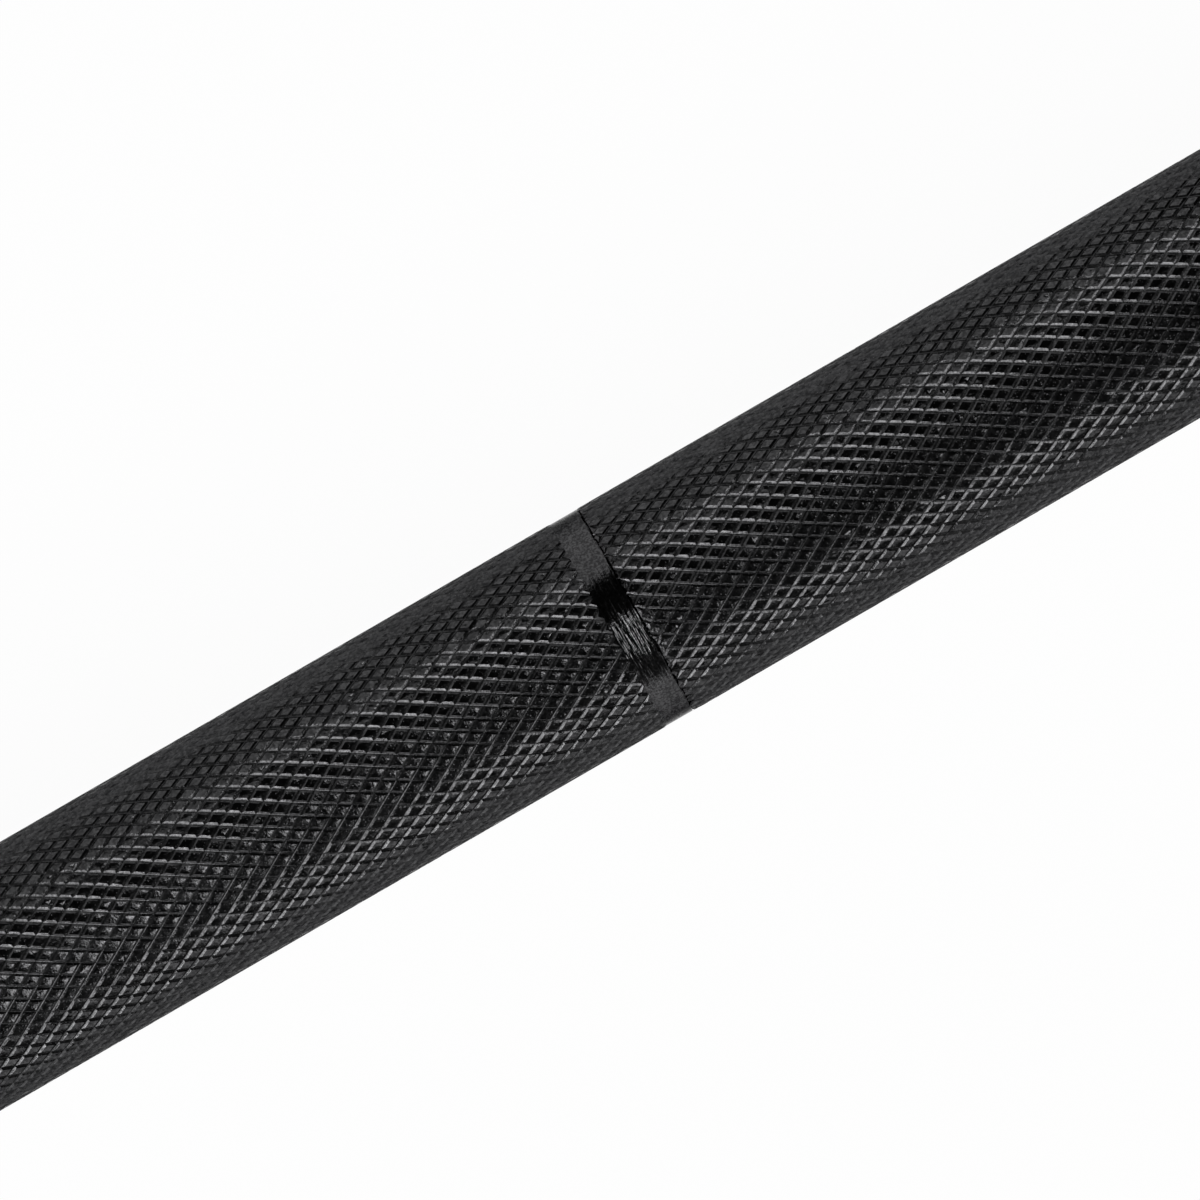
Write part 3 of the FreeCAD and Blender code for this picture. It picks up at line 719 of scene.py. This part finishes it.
def grip_marks(shaft):
    """Places on the right half: the outer knurl's inner end and outer end, and the scored line's start."""
    outer = COLLAR_FACE - shaft.grip_gap
    score = shaft.ring_inner + shaft.ring_width - shaft.score_inset
    return outer - shaft.grip_length, outer, score


def grip_bands(shaft, knurl):
    """The knurl bands as (label, low, high, ragged): the middle one, and two on each side."""
    inner, outer, score = grip_marks(shaft)
    return [
        ("centre", -shaft.centre_half, shaft.centre_half, 0.0),
        ("right_inner", inner, shaft.ring_inner, 0.0),
        ("right_outer", score, outer, knurl.runout),
        ("left_inner", -shaft.ring_inner, -inner, 0.0),
        ("left_outer", -outer, -score, -knurl.runout),
    ]


def finish_nodes(suffix, material):
    """Gives the solids with this ending, on both sides, one finish."""
    for side in SIDES:
        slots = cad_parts[f"{side}_{suffix}"].data.materials
        slots.clear()
        slots.append(material)


class BARBELL_OT_shaft_core(bpy.types.Operator):
    """Turns the shaft without its knurl: a core, sunk under each knurl band, and two ring marks"""

    bl_idname = "barbell.shaft_core"
    bl_label = "Turn the shaft"

    def execute(self, context):
        scene = context.scene
        shaft, knurl, finish = scene.barbell_shaft, scene.barbell_knurl, scene.barbell_finish
        root = shaft.crest - knurl.depth - knurl.root_gap
        inner, outer, score = grip_marks(shaft)
        shoulder = COLLAR_FACE + shaft.shoulder_inset
        floor = shaft.journal - shaft.relief_depth
        groove_end = SHAFT_END - shaft.groove_tail
        groove = groove_end - shaft.groove_width
        half = [
            (shaft.centre_half, root),
            (shaft.centre_half, shaft.radius),
            (inner, shaft.radius),
            (inner, root),
            (score, root),
            (score, shaft.radius),
            (score + shaft.score_width / 2, shaft.radius - shaft.score_depth),
            (score + shaft.score_width, root),
            (outer, root),
            (outer, shaft.radius),
            (shoulder - shaft.shoulder_chamfer, shaft.radius),
            (shoulder, shaft.radius - shaft.shoulder_chamfer),
            (shoulder, floor),
            (shoulder + shaft.relief_width, floor),
            (shoulder + shaft.relief_width + shaft.relief_depth, shaft.journal),
            (groove, shaft.journal),
            (groove, shaft.journal - shaft.groove_depth),
            (groove_end, shaft.journal - shaft.groove_depth),
            (groove_end, shaft.journal),
            (SHAFT_END - shaft.end_chamfer, shaft.journal),
            (SHAFT_END, shaft.journal - shaft.end_chamfer),
            (SHAFT_END, shaft.centre_mouth),
            (SHAFT_END - shaft.centre_depth, 0.0),
        ]
        outline = [(-x, r) for x, r in reversed(half)] + half
        bare = scratched_black("black_bare_shaft", finish, scene.barbell_grain)
        core = lathe("shaft_core", outline, shaft.segments, "shaft", bare, shaft.crease)
        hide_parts("shaft")
        ring = [
            (shaft.ring_inner, root),
            (shaft.ring_inner, shaft.radius),
            (score, shaft.radius),
            (score, root),
        ]
        for side, sign in zip(SIDES, (1, -1)):
            band = [(sign * x, r) for x, r in ring][::sign]
            lathe(f"{side}_ring_mark", band, shaft.segments, "shaft", bare, shaft.crease)
        return {"FINISHED"}


class BARBELL_OT_knurl(bpy.types.Operator):
    """Rolls the diamond knurl of the middle band and of the bands on each side of the ring marks"""

    bl_idname = "barbell.knurl"
    bl_label = "Roll the knurl"

    def execute(self, context):
        scene = context.scene
        shaft, knurl = scene.barbell_shaft, scene.barbell_knurl
        finish, grain = scene.barbell_finish, scene.barbell_grain
        material = knurled_black("black_knurl", finish, grain, shaft.crest)
        for band in grip_bands(shaft, knurl):
            roll_knurl(*band, shaft, knurl, material)
        return {"FINISHED"}


class BARBELL_OT_sleeves(bpy.types.Operator):
    """Finishes the sleeves, collars, end caps and dust seals"""

    bl_idname = "barbell.sleeves"
    bl_label = "Finish the sleeves"

    def execute(self, context):
        finish = context.scene.barbell_finish
        chrome = finish.chrome, finish.chrome_dull
        sleeve = turned_metal("chrome_sleeve", *chrome, roughness=0.18, lines=2600, height=0.02 * MM)
        finish_nodes("sleeve", sleeve)
        collar = turned_metal("chrome_collar", *chrome, roughness=0.14, lines=1800, height=0.015 * MM)
        finish_nodes("collar", collar)
        anodised = finish.anodised, finish.anodised_pale
        cap = faced_metal("anodised_cap", *anodised, roughness=0.3, lines=2500, height=0.03 * MM)
        finish_nodes("end_cap", cap)
        rubber = finish.rubber, finish.rubber_bloom
        seal = grained("rubber_seal", *rubber, roughness=0.55, grain=5000, height=0.03 * MM, metallic=0.0)
        finish_nodes("dust_seal", seal)
        return {"FINISHED"}


class BARBELL_OT_bearings(bpy.types.Operator):
    """Finishes the bushings, washers, needle bearings and retaining rings"""

    bl_idname = "barbell.bearings"
    bl_label = "Finish the bearings"

    def execute(self, context):
        finish = context.scene.barbell_finish
        bronze = finish.bronze, finish.bronze_oiled
        bushing = turned_metal("machined_bronze", *bronze, roughness=0.22, lines=3000, height=0.02 * MM)
        finish_nodes("inner_bushing", bushing)
        finish_nodes("outer_bushing", bushing)
        steel = finish.steel, finish.steel_dull
        bearing = turned_metal("ground_steel", *steel, roughness=0.12, lines=5000, height=0.01 * MM)
        finish_nodes("bearing_cup", bearing)
        finish_nodes("needle_rollers", bearing)
        washer = faced_metal("ground_washer", *steel, roughness=0.15, lines=4000, height=0.01 * MM)
        finish_nodes("inner_thrust_washer", washer)
        finish_nodes("outer_thrust_washer", washer)
        sheet = finish.sheet_steel, finish.steel_dull
        cage = grained("pressed_cage", *sheet, roughness=0.25, grain=2500, height=0.01 * MM, metallic=1.0)
        finish_nodes("roller_cage", cage)
        spring = finish.phosphate, finish.phosphate_pale
        ring = grained("phosphated_ring", *spring, roughness=0.4, grain=6000, height=0.02 * MM, metallic=1.0)
        finish_nodes("shaft_retaining_ring", ring)
        finish_nodes("cap_retaining_ring", ring)
        return {"FINISHED"}


def add_lamp(name, target, distance, along, across, width, breadth, radiance):
    """A soft lamp that leans along and across the bar, seen from the target with this width and breadth.

    Its power is pi times its area times its radiance.
    """
    towards = Vector(
        (math.sin(along), math.cos(along) * math.sin(across), math.cos(along) * math.cos(across))
    )
    data = bpy.data.lights.new(name, "AREA")
    data.shape = "RECTANGLE"
    data.size = 2 * distance * math.tan(width / 2)
    data.size_y = 2 * distance * math.tan(breadth / 2)
    data.energy = math.pi * data.size * data.size_y * radiance
    lamp = bpy.data.objects.new(name, data)
    side = Vector((1, 0, 0)) - towards * towards.x
    side.normalize()
    up = towards.cross(side)
    turned = Matrix((side, up, towards)).transposed().to_4x4()
    lamp.matrix_world = Matrix.Translation(target + towards * distance) @ turned
    lamp.visible_camera = False
    bpy.context.scene.collection.objects.link(lamp)


class BARBELL_OT_stage(bpy.types.Operator):
    """Sets the camera over a ring mark, a white floor, soft lamps and white walls under a dark ceiling"""

    bl_idname = "barbell.stage"
    bl_label = "Set the studio"

    def execute(self, context):
        scene = context.scene
        studio, shaft = scene.barbell_studio, scene.barbell_shaft
        ring = Vector((shaft.ring_inner + shaft.ring_width / 2, 0, 0))
        self.camera(scene, studio, ring)
        self.lamps(studio, ring)
        self.walls(scene, studio)
        self.floor(scene, studio)
        scene.view_settings.view_transform = "Standard"
        return {"FINISHED"}

    def camera(self, scene, studio, ring):
        """Looks straight down on the ring mark, rolled so that the bar rises to the right."""
        data = bpy.data.cameras.new("camera")
        data.lens = studio.lens
        camera = bpy.data.objects.new("camera", data)
        spot = ring + Vector((studio.shift_x, studio.shift_y, studio.distance))
        camera.matrix_world = Matrix.Translation(spot) @ Matrix.Rotation(-studio.roll, 4, "Z")
        scene.collection.objects.link(camera)
        scene.camera = camera

    def lamps(self, studio, ring):
        """A broad key lamp over the left of the picture, a tail that lengthens it, and a fill lamp."""
        key = studio.key_along, studio.key_across, studio.key_width, studio.key_breadth
        tail = studio.tail_along, studio.tail_across, studio.tail_width, studio.tail_breadth
        fill = studio.fill_along, studio.fill_across, studio.fill_width, studio.fill_breadth
        add_lamp("key_lamp", ring, studio.lamp_distance, *key, studio.key_radiance)
        add_lamp("key_tail", ring, studio.lamp_distance, *tail, studio.key_radiance)
        add_lamp("fill_lamp", ring, studio.lamp_distance, *fill, studio.fill_radiance)

    def walls(self, scene, studio):
        """The world: white to the camera. To the object, white beyond a lean from straight up, dark above.

        The lean is the angle whose tangent is the direction's Y over its Z. The edge of each wall moves with
        the square of the direction's X. The near wall darkens towards +X, and the ceiling brightens towards
        -X and towards the near wall.
        """
        world = bpy.data.worlds.new("studio")
        scene.world = world
        tree = Tree(world)
        way = tree.node("ShaderNodeTexCoord", output="Generated")
        along, across, up = tree.split(way)
        lean = across.math("ARCTAN2", across, up)
        blur = studio.wall_blur / 2
        far_lean = lean - along * along * studio.far_rake
        far = tree.step(far_lean, studio.far_wall - blur, studio.far_wall + blur)
        glow = along.math("MINIMUM", studio.near_level - along * studio.near_fall, studio.near_peak)
        glow = glow.math("MAXIMUM", glow, 0.0)
        near_lean = along * along * studio.near_rake - lean
        near = tree.step(near_lean, studio.near_wall - blur, studio.near_wall + blur)
        side = along.math("MAXIMUM", (0 - along - studio.side_start) * studio.side_glow, studio.ceiling)
        haze = tree.step(0 - lean, studio.haze_start, studio.haze_end) * studio.haze
        white = side + haze + (1 - side) * (far * studio.far_level + near * glow)
        seen = tree.node("ShaderNodeLightPath", output="Is Camera Ray")
        strength = seen + (1 - seen) * white
        shader = tree.node("ShaderNodeBackground", {}, {"Color": paint((1, 1, 1)), "Strength": strength})
        tree.node("ShaderNodeOutputWorld", {}, {"Surface": shader})

    def floor(self, scene, studio):
        """A pale floor under the collars, lifted towards white in the picture and clear from below."""
        half = studio.floor_size / 2
        level = CAD_LOW.z
        mesh = bpy.data.meshes.new("floor")
        mesh.from_pydata(
            [(-half, -half, level), (half, -half, level), (half, half, level), (-half, half, level)],
            [],
            [(0, 1, 2, 3)],
        )
        floor = bpy.data.objects.new("floor", mesh)
        scene.collection.objects.link(floor)
        material, tree = new_material("pale_floor")
        mesh.materials.append(material)
        matt = tree.node("ShaderNodeBsdfDiffuse", {}, {"Color": paint(studio.floor_colour)})
        white = tree.node("ShaderNodeEmission", {}, {"Color": paint((1, 1, 1)), "Strength": 1.0})
        seen = tree.node("ShaderNodeLightPath", output="Is Camera Ray")
        mirrored = tree.node("ShaderNodeLightPath", output="Is Glossy Ray")
        passed = tree.node("ShaderNodeLightPath", output="Is Transmission Ray")
        any_way = seen.math("MINIMUM", seen + mirrored + passed, 1.0)
        lifted = tree.node("ShaderNodeMixShader", {}, {0: any_way * studio.floor_white, 1: matt, 2: white})
        under = tree.node("ShaderNodeNewGeometry", output="Backfacing")
        clear = tree.node("ShaderNodeBsdfTransparent", {}, {})
        shader = tree.node("ShaderNodeMixShader", {}, {0: seen * under, 1: lifted, 2: clear})
        tree.node("ShaderNodeOutputMaterial", {}, {"Surface": shader})


class BARBELL_PT_panel(bpy.types.Panel):
    """Sizes, finishes and steps of the barbell"""

    bl_idname = "BARBELL_PT_panel"
    bl_label = "Barbell"
    bl_space_type = "VIEW_3D"
    bl_region_type = "UI"
    bl_category = "Barbell"

    def draw(self, context):
        for step in OPERATORS:
            self.layout.operator(step.bl_idname)
        for title, group in GROUPS.items():
            box = self.layout.box()
            box.label(text=group.__doc__)
            values = getattr(context.scene, title)
            for name in group.__annotations__:
                box.prop(values, name)


OPERATORS = (
    BARBELL_OT_shaft_core,
    BARBELL_OT_knurl,
    BARBELL_OT_sleeves,
    BARBELL_OT_bearings,
    BARBELL_OT_stage,
)
GROUPS = {
    "barbell_shaft": BarbellShaft,
    "barbell_knurl": BarbellKnurl,
    "barbell_finish": BarbellFinish,
    "barbell_grain": BarbellGrain,
    "barbell_studio": BarbellStudio,
}


def register():
    for group in GROUPS.values():
        bpy.utils.register_class(group)
    for step in (*OPERATORS, BARBELL_PT_panel):
        bpy.utils.register_class(step)
    for title, group in GROUPS.items():
        setattr(bpy.types.Scene, title, PointerProperty(type=group))


def unregister():
    for title in GROUPS:
        delattr(bpy.types.Scene, title)
    for step in (BARBELL_PT_panel, *reversed(OPERATORS)):
        bpy.utils.unregister_class(step)
    for group in reversed(GROUPS.values()):
        bpy.utils.unregister_class(group)


def main():
    register()
    bpy.ops.barbell.shaft_core()
    bpy.ops.barbell.knurl()
    bpy.ops.barbell.sleeves()
    bpy.ops.barbell.bearings()
    bpy.ops.barbell.stage()


if __name__ == "__main__":
    main()
